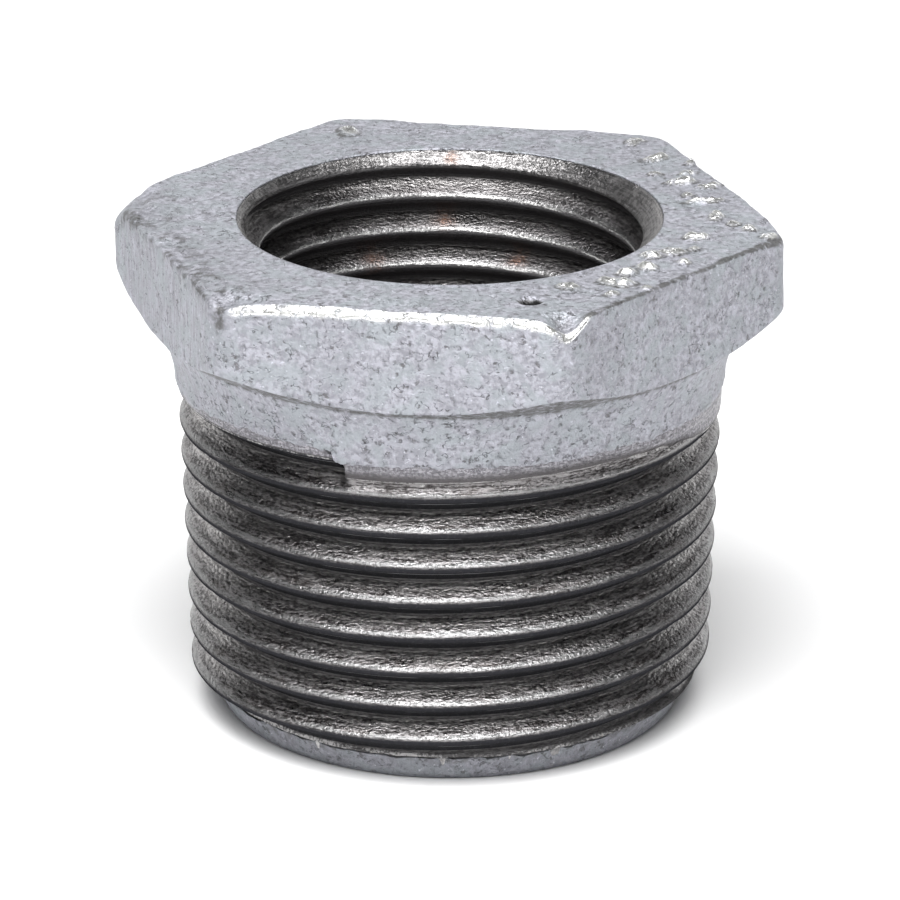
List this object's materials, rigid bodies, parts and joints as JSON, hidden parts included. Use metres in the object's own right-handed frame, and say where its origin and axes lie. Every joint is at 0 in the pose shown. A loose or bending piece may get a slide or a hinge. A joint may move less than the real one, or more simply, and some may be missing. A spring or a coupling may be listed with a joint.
{
  "type": "hexagon reducing bushing",
  "caption": "Galvanised malleable-iron reducing bushing: hexagon head with an internal pipe thread, concentric with a taper pipe thread outside.",
  "frame": {"origin": "centre of the small end's face, on the bore's axis", "axes": "+Z along the bore to the hexagon end; two opposite corners of the hexagon lie on X, and two wrench flats face +Y and -Y"},
  "size_m": [0.033, 0.0292, 0.0251],
  "materials": {
    "bare_iron": "malleable iron as cut by the thread tools: dark, satin, bright along the crests",
    "head_zinc": "hot-dip zinc on a sand-cast face: light grey, matte, finely pitted and mottled",
    "end_zinc": "hot-dip zinc on a sand-cast face: light grey, matte, slightly stained"
  },
  "bodies": {
    "root": {"iron_casting": "bare_iron", "head_zinc_coat": "head_zinc", "end_zinc_coat": "end_zinc"}
  },
  "joints": []
}
